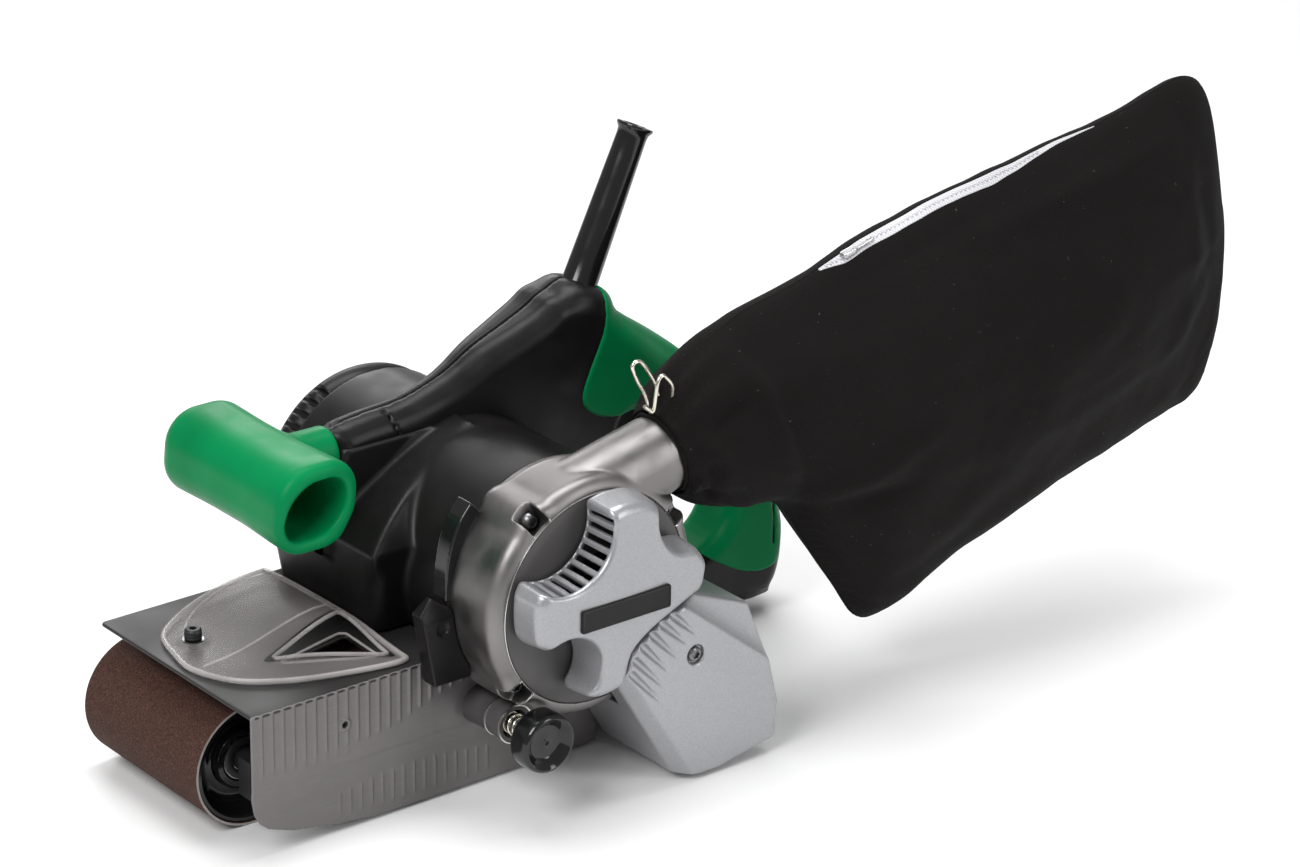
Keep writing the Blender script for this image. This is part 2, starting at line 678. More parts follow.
def handle():
    """The spine and D handle in black, its screws, and the two rubber pads over it."""
    profile, loop = curve_through(HANDLE, 3), curve_through(FINGER_LOOP, 3)

    def shape(x, y, z):
        width = 12.5 + 7.5 * ease(x, 30, 80) - 3.5 * ease(x, 150, 40)
        width = width + 2.5 * ease(x, 225, 30)
        edge = 7.5 + 4 * ease(x, 140, 40)
        body = chamfered(outline(x, z, profile), np.abs(y) - width, edge, 2.5)
        body = without(body, outline(x, z, loop), 8)
        boss = rod(x, y, z, ARMOUR - 34 * ARMOUR_WAY, ARMOUR + 3 * ARMOUR_WAY, 15.5, 15)
        boss = both(boss, (x - ARMOUR.x) * ARMOUR_WAY.x + (z - ARMOUR.z) * ARMOUR_WAY.z - 6, 3)
        return either(body, boss, 9)

    def black(x, y, z):
        body = shape(x, y, z)
        top_seam = both(np.abs(y) - 0.45, -4 - body)
        side_seam = both(both(np.abs(x - 9 - 0.35 * (172 - z)) - 0.45, -3 - body), y + 2)
        nose = both(rod(x, y, z, (-50, 0, 162.8), (0, 0, 162.8), 6.9, 6.9), -48.2 - x)
        return either(without(without(body, top_seam, 0.4), side_seam, 0.4), nose, 1)

    piece(skin("handle_body", black, (-52, -24, 4), (268, 24, 216), 1.3), "black_plastic",
          "handle_shell_near", "handle_shell_far")
    for i, (x, z, half) in enumerate(((20, 163, 12.4), (104, 186, 19.8), (148, 24, 17.6), (234, 20, 18.2))):
        screw("handle_screw_%d" % i, (x, half, z), (0, 1, 0), 3.2, 1.6)

    def rubber(x, y, z):
        body = shape(x, y, z)
        soft = both(body - 1.3, outline(x, z, region), 1.2)
        slit = both(np.abs(x - 250.6) - 0.9, both(span(z, 42, 66), y + 12))
        return without(without(soft, body + 1.2, 0.3), slit, 0.3)

    for name, points, low, high, nodes in (
        ("upper_pad", UPPER_PAD, (114, -23, 136), (214, 23, 214), ["grip_pads"]),
        ("lower_pad", LOWER_PAD, (178, -23, 26), (262, 23, 130), []),
    ):
        region = curve_through(points, 3)
        piece(skin(name, rubber, low, high, 1), "green_rubber", *nodes)


def armour():
    """The moulded cord guard: a flared sleeve with fine end lip and a real bore."""
    reach = 92
    profile = [(-8, 4.9), (-8, 10.4), (2.5, 10.4), (4.2, 9.9), (6, 9.35), (20, 9.1), (50, 8.55), (76, 8.05),
               (86, 7.9),
               (88.6, 8.25), (90.2, 9.4), (91.2, 9.75), (reach - 0.2, 9.6), (reach, 9.1), (reach, 6.4),
               (reach - 1.6, 5.3), (reach - 5, 4.9)]
    piece(ring_lathe("armour", profile, ARMOUR, ARMOUR_WAY, 96), "gloss_black", "cord_armour")


# ---- green cross grip
GRIP_X, GRIP_Z = -64.9, 157.5


def cross_grip():
    """The soft cross grip: a waisted sleeve, open at the near end, with a stub to the spine."""
    def field(x, y, z):
        u, v = x - GRIP_X, z - GRIP_Z
        waist = 1 - 0.055 * ease(y, -50, 40) + 0.035 * ease(y, 10, 40)
        section = rounded_box((u - 0.1 * v) / waist, v / waist, 23.2, 22.2, 18.5) * waist
        notch = both(hyp(u - 31, v + 19) - 11.5, y + 28)
        section = without(section, notch, 8)
        body = both(both(section, -55 - y, 5), y - 55, 14)
        stub = both(rod(x, y, z, (-60, 0, 159.2), (-23, 0, 159.2), 12.8, 12.4), x + 22.5, 2)
        body = either(body, stub, 4)
        hollow = both(rounded_box(u - 0.3 * v + 1, v + 0.4, 17, 14.6, 14.2), y - 36, 8)
        return without(body, hollow, 2.2)
    piece(skin("cross_grip", field, (-91, -56, 132), (-21, 56, 183), 1), "green_rubber", "front_grip")


# ---- dust fan housing
def fan_case():
    """The cast fan housing with its four screw pockets and the dust nozzle."""
    turns = [radians(a) for a in SCREW_ANGLES]
    lugs = [(MOTOR_X + SCREW_CIRCLE * cos(a), MOTOR_Z + SCREW_CIRCLE * sin(a)) for a in turns]
    tip, waist = NOZZLE + 72 * NOZZLE_WAY, NOZZLE + 40 * NOZZLE_WAY

    def field(x, y, z):
        r = from_motor(x, z)
        around = r - DRUM_R
        for cx, cz in lugs:
            around = either(around, hyp(x - cx, z - cz) - 7.6, 6)
        case = both(around, span(y, FAN_FACE, FAN_BACK), 7.5)
        case = either(case, both(r - 60, span(y, -95, FAN_BACK), 1), 0.6)
        flat = BAG_Y + (y - BAG_Y) * 1.05
        pipe = rod(x, flat, z, (52, BAG_Y, 150.5), waist, 20.2, 20.6)
        pipe = np.minimum(pipe, rod(x, y, z, waist, tip, 19.8, 19))
        pipe = both(pipe, (x - tip.x) * NOZZLE_WAY.x + (z - tip.z) * NOZZLE_WAY.z, 1.2)
        case = either(case, pipe, 0.8)
        bore = rod(x, y, z, (70, BAG_Y, 153), tip + 5 * NOZZLE_WAY, 15.5, 16.5)
        case = without(case, both(bore, 60 - x), 1)
        case = without(case, both(r - 54.6, y + 122.6), 0.5)
        case = without(case, both(r - 50, span(y, -119, -80)), 1)
        case = without(case, both(r - 26, y + 110), 1)
        for cx, cz in lugs:
            ux, uz = (cx - MOTOR_X) / SCREW_CIRCLE, (cz - MOTOR_Z) / SCREW_CIRCLE
            t = np.clip((x - cx) * ux + (z - cz) * uz, 0, 9)
            slot = hyp(x - cx - t * ux, z - cz - t * uz) - 5.6
            case = without(case, both(slot, y + 113), 0.7)
        return case

    piece(skin("fan_case", field, (-17, -126, 42), (131, -83.5, 190), 0.85), "cast_metal", "fan_housing")
    for i, ((cx, cz), turn) in enumerate(zip(lugs, turns)):
        screw("fan_screw_%d" % i, (cx, -113, cz), (0, -1, 0), 4.3, 4.4, *["fan_housing_screws"][i:])
        bend = [radians(a) + turn + pi for a in range(-80, 81, 10)]
        rim = [(cx + 6 * cos(a), FAN_FACE + 0.35, cz + 6 * sin(a)) for a in bend]
        piece(wire("pocket_rim_%d" % i, rim, 0.4), "cast_metal", look=BRIGHT_EDGE)


def face_disc():
    """The plate inside the fan face, with its thin bright rim."""
    centre = (MOTOR_X, 0, MOTOR_Z)
    profile = [(122.8, 24), (124.6, 24), (124.7, 48), (124.7, 53.2), (124.4, 54.2), (123.8, 54.5),
               (122.8, 54.5)]
    piece(ring_lathe("face_plate", profile, centre, (0, -1, 0), 128), "face_plastic", "fan_face_disc")
    rim = [(122.4, 54.6), (124.3, 54.6), (124.6, 54.85), (124.3, 55.1), (122.4, 55.1)]
    piece(ring_lathe("face_rim", rim, centre, (0, -1, 0), 160), "cast_metal", look=BRIGHT_EDGE)


# ---- silver covers
INTAKE = [
    (-3.5, 127.5), (-5.6, 120), (-5.6, 109), (-3.8, 101), (3, 95), (14, 84), (24, 68), (31, 63.2), (40, 62.8),
    (49, 65.4), (52, 71), (54.8, 82), (63, 89), (73.6, 94.2), (90, 100.5), (98, 104), (101, 112), (101, 120),
    (92, 132), (78, 146), (71, 157), (64, 162.2), (54, 164), (43, 163.4), (30, 158), (8, 142),
]
LOUVRE_PITCH = 12.2
# X, Z, radius at the rim, how much the wall leans in towards the base.
SCOOPS = ((13, 153, 28, 0.06), (14.5, 82, 20, 0.12), (89, 148, 21, 0.1))


def intake():
    """The silver cover: a shell with three round scoops, the upper one with louvres."""
    border = curve_through(INTAKE, 3)

    def field(x, y, z):
        level = -126 - y
        dome = COVER_FACE + 0.0009 * hyp(x - 44, z - 112) ** 2
        body = both(outline(x, z, border) + 0.1 * level, span(y, dome, COVER_BACK), 5.2)
        shape = outline(x, z, border) + 3.2
        for cx, cz, radius, lean in SCOOPS:
            dent = hyp(x - cx, z - cz) - radius - lean * (level - 24)
            body = without(body, dent, 2.3)
            shape = without(shape, dent - 3, 2)
        body = without(body, both(shape, span(y, dome + 6, COVER_BACK + 4)), 0.5)
        sx, sz, radius, _ = SCOOPS[0]
        angle, reach = degrees_about(x, z, sx, sz), hyp(x - sx, z - sz)
        turn = np.mod(angle + 112, LOUVRE_PITCH) - LOUVRE_PITCH / 2
        slots = both(np.abs(turn) * reach * pi / 180 - 1.5, span(angle, -112, 10) * 0.5)
        slots = both(slots, span(y, -146.2, -128), 0.3)
        return without(body, both(slots, span(reach, radius - 8, radius + 9)), 0.4)

    piece(skin("intake_shell", field, (-8, -151, 60), (104, -125.5, 166), 0.7), "silver_plastic",
          "intake_cover")


def badge():
    """A plain name plate without any lettering: a black face inside a fine raised border."""
    def field(x, y, z):
        plate = rounded_box(x - 46.4, z - 110, 27, 6, 1.2)
        body = both(plate, span(y, -150.95, -146.6), 0.35)
        return without(body, both(plate + 1, y + 150.55), 0.1)
    piece(skin("badge", field, (19, -151.2, 103), (74, -146.4, 117), (0.5, 0.2, 0.5)), "black_plastic",
          "badge_plate")


BELT_BOX = [(50, 64), (86, 5), (99, 2.6), (112, 2.6), (147.4, 9), (148.8, 29), (140.7, 62), (133, 85),
            (97, 100.5),
            (73, 92.5), (55.6, 81)]
GROOVES = [((55.5, 69.7), (74.7, 48.8)), ((57.6, 76.6), (76, 56.8)), ((62.4, 82.5), (78.6, 64.6)),
           ((68.3, 87.2), (83.8, 70.6)), ((74.3, 91.4), (90.6, 75.8)), ((80.9, 94.2), (95.8, 79.8))]


def belt_box():
    """The angular silver cover over the toothed belt, with a bevelled front edge and tapering grooves."""
    (ax, az), (bx, bz) = BELT_BOX[0], BELT_BOX[1]
    reach = hypot(bx - ax, bz - az)
    nx, nz = (bz - az) / reach, -(bx - ax) / reach

    def field(x, y, z):
        front = both(outline(x, z, BELT_BOX, 3), BOX_FACE - y, 2)
        edge = (x - ax) * nx + (z - az) * nz
        front = both(front, (edge + BOX_FACE - y + 7) / sqrt(2), 0.6)
        past = np.maximum((x - 86.6) * 0.624 + (z - 97.2) * 0.781, 0)
        depth = 4 * (1 - np.exp(-past / 4)) + 0.16 * past
        front = both(front, (BOX_FACE + depth - y) * 0.8, 1.2)
        body = both(front, y - FAN_BACK, 1)
        for line in GROOVES:
            near, t = near_line(x, z, *line)
            groove = hyp(near * 1.5, y - BOX_FACE + 0.4) - (3.4 - 2.4 * t ** 1.5)
            body = without(body, groove / 1.3, 0.4)
        body = without(body, both(hyp(x - 95, z - 69.4) - 5.2, y + 142), 0.9)
        body = without(body, both(from_motor(x, z) - 62.6, -126 - y), 0.5)
        return without(body, both(front + 3, BOX_FACE + 12 - y))

    piece(skin("belt_box", field, (48, -146, 1), (151, -83, 103), 0.8), "silver_plastic", "belt_cover")
    screw("box_screw", (95, -142.2, 69.4), (0, -1, 0), 4, 2.3, "cover_screws")


# ---- sheet cover
def sheet_cover():
    """The bent sheet cover: a ribbed side with a rolled screw hole, and a flat top with an opening."""
    shape = [(-124.9, 76), (-124.9, 31), (-123.6, 23.7), (-120.5, 18.2), (-115.8, 14.3), (-101.4, 9.1),
             (-75.4, 4.4),
             (-52, 1.8), (82, 1.8), (82, 67.5), (-4, 67.5), (-4, 76)]
    upper = [(-119.5 + 6.15 * i, 75, 46 + 0.02 * i * i + 9 * ease(i, 11, 8)) for i in range(20)]
    lower = [(-75 + 6.3 * i, 10 - 0.25 * i if i < 7 else 8.4, 19.5 + 3.5 * sin(i / 4)) for i in range(15)]

    def side(x, y, z):
        plate = outline(x, z, shape)
        ribs = 0
        for rx, top, low in upper + [(a, c, b) for a, b, c in lower]:
            t = np.clip(z, low, top)
            ribs = np.maximum(ribs, 1.15 * np.exp(-((x - rx) ** 2 + 0.25 * (z - t) ** 2) / 0.6))
        for i in range(9):
            ribs = np.maximum(ribs, 0.7 * np.exp(-((x + 119.5 - 6.15 * i) ** 2 + (z - 42.6) ** 2) / 1.3))
        crease = 0.45 * smooth((37.5 + 0.01 * x - z) / 2)
        boss = 5 * smooth(1.5 - hyp(x - KNOB_X, z - KNOB_Z) / 17)
        dents = 0
        for cx, cz in ((44, 45), (60, 33), (72, 14)):
            dents = np.maximum(dents, 1.6 * smooth(1.6 - hyp(x - cx, (z - cz) * 0.7) / 9))
        middle = SIDE_FACE + 1 + crease * 0.8 - np.minimum(boss, 3.5) * 0.3 - dents * 0.4
        wall = np.abs(y - middle + ribs * 0.7) - 0.8
        hole = hyp(x + 71.6, z - 56.9)
        lip = both(hole - 3.4, np.abs(y - middle + 0.4) - 1.1, 0.5)
        wall = either(both(plate, wall, 0.5), lip, 0.4)
        wall = without(wall, hole - 1.7)
        return without(wall, hyp(x - KNOB_X, z - KNOB_Z) - 8.9)

    piece(skin("cover_side", side, (-126, -86.5, 0), (83, -80.5, 77), (0.6, 0.45, 0.7)), "dark_sheet",
          "side_cover")

    def top(x, y, z):
        plate = outline(x, y, [(-124.9, SIDE_FACE), (-4, SIDE_FACE), (-4, 49.6), (-124.9, 49.6)], 2.5)
        turn = both(plate, span(z, 74.1, 75.95), 0.5)
        turn = without(turn, outline(x, y, OPENING, 2), 0.3)
        return without(turn, hyp(x - LEAF_SCREW_X, y - LEAF_SCREW_Y) - 1.9)

    piece(skin("cover_top", top, (-126, -84.5, 73), (-3, 51, 77), (1.2, 1.2, 0.5)), "dark_sheet",
          look=TOP_SHEET)


def lug():
    """The folded ear that ties the cover to the motor."""
    shape = [(-26, 67), (-4, 67), (-4, 100), (-13, 104), (-24, 112), (-33, 105.5), (-29, 83)]

    def field(x, y, z):
        body = both(outline(x, z, shape, 0.8), span(y, -94, -84.4), 0.8)
        body = both(body, (-94 - y) * 0.86 + (z - 104) * 0.5 + 1, 0.6)
        body = without(body, from_motor(x, z) - 62.6, 0.4)
        return without(body, both(hyp(x + 21, z - 97) - 3.4, y + 92.6), 0.4)
    piece(skin("cover_lug", field, (-34, -95, 66), (-3, -84, 113), 0.7), "black_plastic", "side_lug")


# ---- clear chip deflector
LEAF = [(-121, -25), (-119, -8), (-112, 15), (-95, 29), (-74, 38), (-52, 43.5), (-34, 45.5), (-30, 44),
        (-28.9, 30),
        (-28.7, 0), (-28.6, -40), (-28.8, -72), (-31, -78.5), (-42, -78.6), (-62, -74), (-86, -66),
        (-103, -56),
        (-114, -44)]
WINDOW = [(-96, -42), (-38, -29), (-31.5, -33), (-33, -75)]
OPENING = [(-80, -43), (-37, -35), (-35.5, -62)]
FOLDS = (((-114, -26), (-76, -25), (-34, -22)), ((-103, 8), (-90, 22), (-66, 33), (-34, 35)))


def deflector():
    """The clear leaf: a low dome with a beaded rim, moulded folds and a framed window over the belt."""
    border = curve_through(LEAF, 3)

    def height(x, y):
        across = 1 - 0.35 * ((y + 16) / 62) ** 2
        low = smooth(-outline(x, y, border) / 13)
        near = 0.1 + 0.9 * ease(y, -72, 42)
        return 77.6 + 10.8 * ease(x, -108, 62) * across * near * (0.35 + 0.65 * low) + 0.8 * low

    def field(x, y, z):
        rise = height(x, y)
        leaf = both(outline(x, y, border) + 0.6, np.abs(z - rise) * 0.9 - 0.8, 0.4)
        leaf = without(leaf, outline(x, y, WINDOW, 3) + 0.3, 0.3)
        from_screw = hyp(x - LEAF_SCREW_X, y - LEAF_SCREW_Y)
        seat = both(from_screw - 7.5, span(z, 76.2, 80.2), 1)
        return without(both(either(leaf, seat, 1.5), 76.15 - z), from_screw - 2.2)

    piece(skin("deflector", field, (-123, -81, 75.5), (-27, 48, 92), (0.9, 0.9, 0.7)), "clear_plastic",
          "chip_deflector")

    def edging(name, points, radius, closed=True, drop=0):
        line = []
        for x, y in points:
            z = float(height(np.float64(x), np.float64(y)))
            line.append((x, y, z + (76.9 - z) * drop))
        piece(wire(name, line, radius, closed), "clear_plastic", look=CLEAR_EDGE)

    corners = inset(WINDOW, 3)
    frame_points = []
    for (ax, ay), (bx, by) in zip(corners, corners[1:] + corners[:1]):
        frame_points += [(mix(ax, bx, t), mix(ay, by, t)) for t in (0.06, 0.2, 0.35, 0.5, 0.65, 0.8, 0.94)]
    edging("leaf_bead", curve_through(inset(LEAF, 1.4), 4), 1.5)
    edging("window_frame", frame_points, 1.1)
    edging("window_sill", [(mix(-56, x, 0.86), mix(-45, y, 0.86)) for x, y in frame_points], 0.7, drop=0.93)
    for i, points in enumerate(FOLDS):
        edging("leaf_fold_%d" % i, curve_through(points, 5, closed=False), 0.75, closed=False)
    spot = (LEAF_SCREW_X, LEAF_SCREW_Y, 80.2)
    washer = [(0, 2.2), (0, 5.4), (0.7, 5.4), (0.7, 2.2)]
    piece(ring_lathe("leaf_washer", washer, spot, (0, 0, 1), 48), "steel", look=DARK_SCREW)
    grooves = [(0.7, 0.01), (0.7, 3.5), (1.4, 4.4), (2.2, 4.4), (2.6, 3.9), (3, 4.4), (3.8, 4.4), (4.2, 3.9),
               (4.6, 4.4), (5.6, 4.2), (6.3, 3.4), (6.3, 1.9), (4, 1.8), (3.9, 0.01)]
    piece(lathe("leaf_screw", grooves, spot, (0, 0, 1), 48), "steel", look=BLACK_IRON)


# ---- rollers, knob
def front_wheel():
    """The front roller's dished ends, its seals and the far end of its axle."""
    centre = (-ROLLER_X, 0, ROLLER_Z)
    dish = [(1, 30.7), (47.6, 30.7), (48.9, 30.2), (49, 28.6), (47.6, 27.4), (43, 26.6), (40.5, 25.4),
            (38.6, 22), (37.8, 18.5), (38.4, 16.4), (41.6, 15.6), (42.4, 14.9), (42.4, 12.2), (41.5, 11.2),
            (1, 11.2)]
    seal = [(40.5, 6.4), (42.6, 6.4), (43.2, 7.2), (43.2, 9.6), (42.6, 10.6), (40.5, 10.6)]
    sides = ("near", -1, ["front_roller"]), ("far", 1, [])
    for name, side, nodes in sides:
        piece(ring_lathe("wheel_" + name, dish, centre, (0, side, 0), 128), "gloss_black", *nodes,
              body="front_roller_set")
    for name, side, _ in sides:
        piece(ring_lathe("wheel_seal_" + name, seal, centre, (0, side, 0), 72), "steel",
              body="front_roller_set", look=BLACK_IRON)
    end = [(43, AXIS), (43, 8.2), (43.6, 8.2), (44, 5.9), (48.8, 5.9), (49.6, 4.6), (49.6, AXIS)]
    piece(lathe("axle_end_far", end, centre, (0, 1, 0), 48), "steel", body="fork")


def knob():
    """A smooth black knob with a dished face, on a sprung screw that runs into a steel cup."""
    centre = (KNOB_X, 0, KNOB_Z)
    profile = [(129, 4), (129, 13.6), (129.3, 14.6), (130.2, 15.3), (131.6, 15.5), (137.5, 15.45),
               (139.8, 15.2),
               (141.2, 14.7), (141.9, 14), (142, 13.2), (141.7, 12.7), (138.2, 9.4), (137.6, 8.9),
               (137.4, 8.2),
               (137.45, 1.3), (137.7, 0.9), (137.8, 0.01)]
    piece(lathe("adjuster_knob", profile, centre, (0, -1, 0), 120), "gloss_black", "tracking_knob",
          body="knob")
    cup = [(83, 7), (83, 10.5), (88, 9.9), (95, 9.4), (100.9, 9.2), (101.3, 9.4), (101.8, 9.8), (112.6, 9.8),
           (113.2, 9.6), (113.5, 9), (113.5, 7.6), (112.8, 7.1)]
    piece(ring_lathe("adjuster_cup", cup, centre, (0, -1, 0), 96), "face_plastic", "knob_collar")
    for name, at in (("cup_rim_back", 101.2), ("cup_rim_front", 112.6)):
        ring = [(at, 9.5), (at + 0.25, 10.2), (at + 0.7, 10.3), (at + 1.15, 10.2), (at + 1.3, 9.5)]
        piece(ring_lathe(name, ring, centre, (0, -1, 0), 96), "steel", look=BRIGHT_EDGE)


# ---- dust bag
BAG_MOUTH, BAG_END = 103, 486.6
# The bag's upper edge, lower edge and half width at each X.
BAG_TOP = [(103, 182.7), (108, 187), (114, 197), (121, 203.5), (130, 209.5), (140, 216), (154, 222.5),
           (177, 228.5),
           (202, 235), (226, 243), (272, 254.5), (327, 263.5), (355, 269), (388, 271.5), (402, 274.5),
           (429, 282),
           (445, 285.2), (453, 284.8), (462, 280.5), (467.5, 273), (473, 256), (480, 230), (486.6, 205)]
BAG_LOW = [(103, 140), (107, 136.8), (116, 130.5), (130, 126.5), (148, 123.3), (162, 121), (175, 118),
           (185, 110),
           (194, 95), (211, 69.5), (224, 50.5), (231, 40.5), (235.5, 36), (241, 34.6), (250, 34.8),
           (263, 37.5),
           (279, 44), (307, 55), (340, 65.5), (376, 77), (423, 88.7), (453, 98), (470, 101), (480, 109),
           (486.6, 128)]
BAG_WIDE = [(103, 20.8), (106, 23), (110, 25), (118, 28), (130, 31.5), (150, 35.5), (175, 38), (228, 40),
            (330, 40),
            (400, 37), (445, 30), (468, 18), (480, 10), (486.6, 4)]
ZIP_START, ZIP_END = 197, 389
# Folds on the near side: start and end in X and Z, width, height.
BAG_FOLDS = (
    ((108, 178), (128, 150), 3.2, 4.4), ((112, 172), (140, 196), 3.6, -4.2),
             ((116, 160), (122, 132), 3, -4.6),
    ((136, 208), (178, 130), 4.4, 5.4), ((150, 190), (186, 118), 5.4, -4.6), ((178, 128), (262, 152), 5, 5),
    ((186, 116), (250, 128), 6, -4.2), ((140, 196), (282, 214), 10, 2.2), ((228, 60), (330, 118), 12, 2.6),
    ((252, 58), (420, 104), 8, 2.4), ((210, 232), (330, 258), 4.5, -3), ((300, 244), (440, 266), 5, 3.4),
    ((446, 262), (472, 160), 7, -2.6), ((420, 130), (474, 190), 9, 2.4), ((458, 110), (476, 150), 5, -3),
    ((380, 240), (470, 232), 7, -2), ((330, 150), (400, 210), 16, 2.4),
)


def fork_spring():
    """The fork's coil spring, which shortens as the lever draws the fork back."""
    low, high = (np.array(corner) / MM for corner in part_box("tension_spring"))
    middle, thick, turns, steps, travel = (low + high) / 2, 0.85, 9, 24, 8
    reach, radius = high[0] - low[0] - 2 * thick, (high[2] - low[2]) / 2 - thick
    line = []
    for k in range(turns * steps + 1):
        share, angle = k / (turns * steps), 2 * pi * k / steps
        line.append((low[0] + thick + reach * share, middle[1] + radius * cos(angle),
                     middle[2] + radius * sin(angle)))
    curve = wire("fork_coil", line, thick, resolution=2)
    bpy.context.view_layer.update()
    data = bpy.data.meshes.new_from_object(curve.evaluated_get(bpy.context.evaluated_depsgraph_get()))
    bpy.data.objects.remove(curve)
    coil = piece(new_object("fork_coil", data), SLOT_OF["tension_spring"], "tension_spring")
    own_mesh(coil)


def value_at(x, table):
    return np.interp(x, *zip(*table))


def soft_value(x, table, reach=2):
    """The table's value at x, averaged over a short reach so that its corners are eased."""
    first, last = table[0][0], table[-1][0]
    return sum(value_at(np.clip(x + d * reach, first, last), table) for d in (-1, -0.5, 0, 0.5, 1)) / 5


def bag_points(columns, around):
    """The bag's surface as columns from the neck to the closed end, each a soft-cornered ring."""
    share = np.linspace(0, 1, columns)
    x = BAG_MOUTH + (BAG_END - BAG_MOUTH) * (1 - (1 - share) ** 1.25) ** 1.05
    top, low, wide = (soft_value(x, table) for table in (BAG_TOP, BAG_LOW, BAG_WIDE))
    angle = 2 * pi * np.arange(around) / around
    c, s = np.cos(angle)[None, :], np.sin(angle)[None, :]
    full = ease(x, 130, 60)[:, None]
    power = 2 / (2 - full * np.where(s < 0, 0.62, 0.15) * np.abs(s) ** 0.5)
    y = wide[:, None] * np.sign(c) * np.abs(c) ** power
    high = ((top - low) / 2)[:, None] * np.sign(s) * np.abs(s) ** power
    lean = tan(TILT) * smooth((165 - x) / 62)[:, None]
    grid = np.stack([x[:, None] - lean * high, BAG_Y + y, ((top + low) / 2)[:, None] + high], 2)
    near_neck = (np.clip((150 - x) / 42, 0, 1) * np.clip((x - BAG_MOUTH) / 7, 0, 1))[:, None]
    pleat = 1.5 * near_neck * np.sin(11 * angle + 1.2 * np.sin(3 * angle))
    grid[:, :, 1] += pleat * c
    grid[:, :, 2] += pleat * s
    return grid


def ridge(grid, start, end, width, rise):
    """A soft fold in the cloth along a line in X and Z, on the near side."""
    far, t = near_line(grid[..., 0], grid[..., 2], start, end)
    near = np.clip((BAG_Y - 3 - grid[..., 1]) / 16, 0, 1)
    return rise * np.exp(-(far / width) ** 2) * near * np.sin(np.pi * np.clip(0.08 + 0.92 * t, 0, 1)) ** 0.6


def bag_faces(columns, around):
    """The rings of the bag, and the seam that closes its end with pairs of points across it."""
    faces = [(a, d, c, b) for a, b, c, d in band_faces(columns, around)]
    last, half, quarter = (columns - 1) * around, around // 2, around // 4

    def end(*places):
        faces.append(tuple(last + place % around for place in places))
    end(quarter, quarter + 1, quarter - 1)
    for k in range(1, half - 1):
        end(quarter - k, quarter + k, quarter + k + 1, quarter - k - 1)
    end(quarter - half + 1, quarter + half - 1, quarter + half)
    return faces


def settle(obj, grid, cap):
    """Lets the cloth settle: slack cloth under its own weight and a little air, held at the neck and end.
    The outline seen from the side is kept, and no point moves further than cap."""
    columns, around = grid.shape[:2]
    group = obj.vertex_groups.new(name="held")
    group.add(list(range(3 * around)), 1, "REPLACE")
    group.add(list(range((columns - 2) * around, columns * around)), 0.6, "REPLACE")
    modifier = obj.modifiers.new("cloth", "CLOTH")
    for key, value in dict(quality=6, mass=0.25, tension_stiffness=20, compression_stiffness=20,
                           shear_stiffness=8,
                           bending_stiffness=0.35, use_pressure=True, uniform_pressure_force=1.4,
                           shrink_min=-0.035,
                           vertex_group_mass="held").items():
        setattr(modifier.settings, key, value)
    modifier.settings.effector_weights.gravity = 0.35
    scene = bpy.context.scene
    for step in range(1, 26):
        scene.frame_set(step)
    posed = obj.evaluated_get(bpy.context.evaluated_depsgraph_get()).to_mesh()
    moved = np.empty(len(posed.vertices) * 3)
    posed.vertices.foreach_get("co", moved)
    obj.modifiers.remove(modifier)
    scene.frame_set(1)
    rest = grid.reshape(-1, 3)
    shift = moved.reshape(-1, 3)[:len(rest)] / MM - rest
    far = np.linalg.norm(shift, axis=1, keepdims=True)
    sideways = smooth(np.abs(rest[:, 1:2] - BAG_Y) / 26) * smooth((rest[:, :1] - 118) / 40)
    return rest + shift * np.minimum(1, cap / np.maximum(far, 1e-6)) * sideways


def thicken(obj, levels, depth, offset):
    """A finer surface with a thickness in mm."""
    finer = obj.modifiers.new("finer", "SUBSURF")
    finer.levels = finer.render_levels = levels
    shell = obj.modifiers.new("thick", "SOLIDIFY")
    shell.thickness = depth * MM
    shell.offset = offset


def bag_body():
    """The dust bag: the lofted shape with folds placed by hand, then settled."""
    columns, around = 104, 128
    grid = bag_points(columns, around)
    out = np.stack([np.zeros(grid.shape[:2]), grid[..., 1] - BAG_Y,
                    (grid[..., 2] - (grid[..., 2].max(1) + grid[..., 2].min(1))[:, None] / 2) * 0.25], 2)
    out /= np.maximum(np.linalg.norm(out, axis=2, keepdims=True), 1e-6)
    folds = sum(ridge(grid, *fold) for fold in BAG_FOLDS)
    seed = Vector((3.1, 7.7, 1.9))
    for i in range(columns):
        for k in range(around):
            spot = Vector(grid[i, k]) / 46 + seed
            folds[i, k] += 1.8 * noise.fractal(spot, 1, 2, 3) * min(1, max(0, grid[i, k, 0] - 104) / 60)
    grid = grid + out * folds[..., None]
    obj = mesh_object("bag_body", grid.reshape(-1, 3), bag_faces(columns, around))
    points = settle(obj, grid, 6)
    box_low, box_high = (np.array(c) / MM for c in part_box("dust_bag"))
    points = np.clip(points, box_low - np.array([40, 2, 2]), box_high + np.array([0, 0, 3]))
    obj.data.vertices.foreach_set("co", (points * MM).ravel())
    obj.vertex_groups.clear()
    thicken(obj, 1, 0.8, -1)
    piece(obj, "bag_cloth", "dust_bag", body="bag")
    return points.reshape(columns, around, 3)


def bag_trim(grid):
    """The seams along the bag's upper and lower edge, laid on the settled cloth."""
    quarter = grid.shape[1] // 4
    for name, row, lift in (("bag_seam_top", quarter, 0.1), ("bag_seam_low", 3 * quarter, -0.2)):
        line = [tuple(p + np.array([0, -0.4, lift])) for p in grid[8:-2:2, row]]
        piece(wire(name, curve_through(line, 3, closed=False), 0.9), "bag_cloth", body="bag")


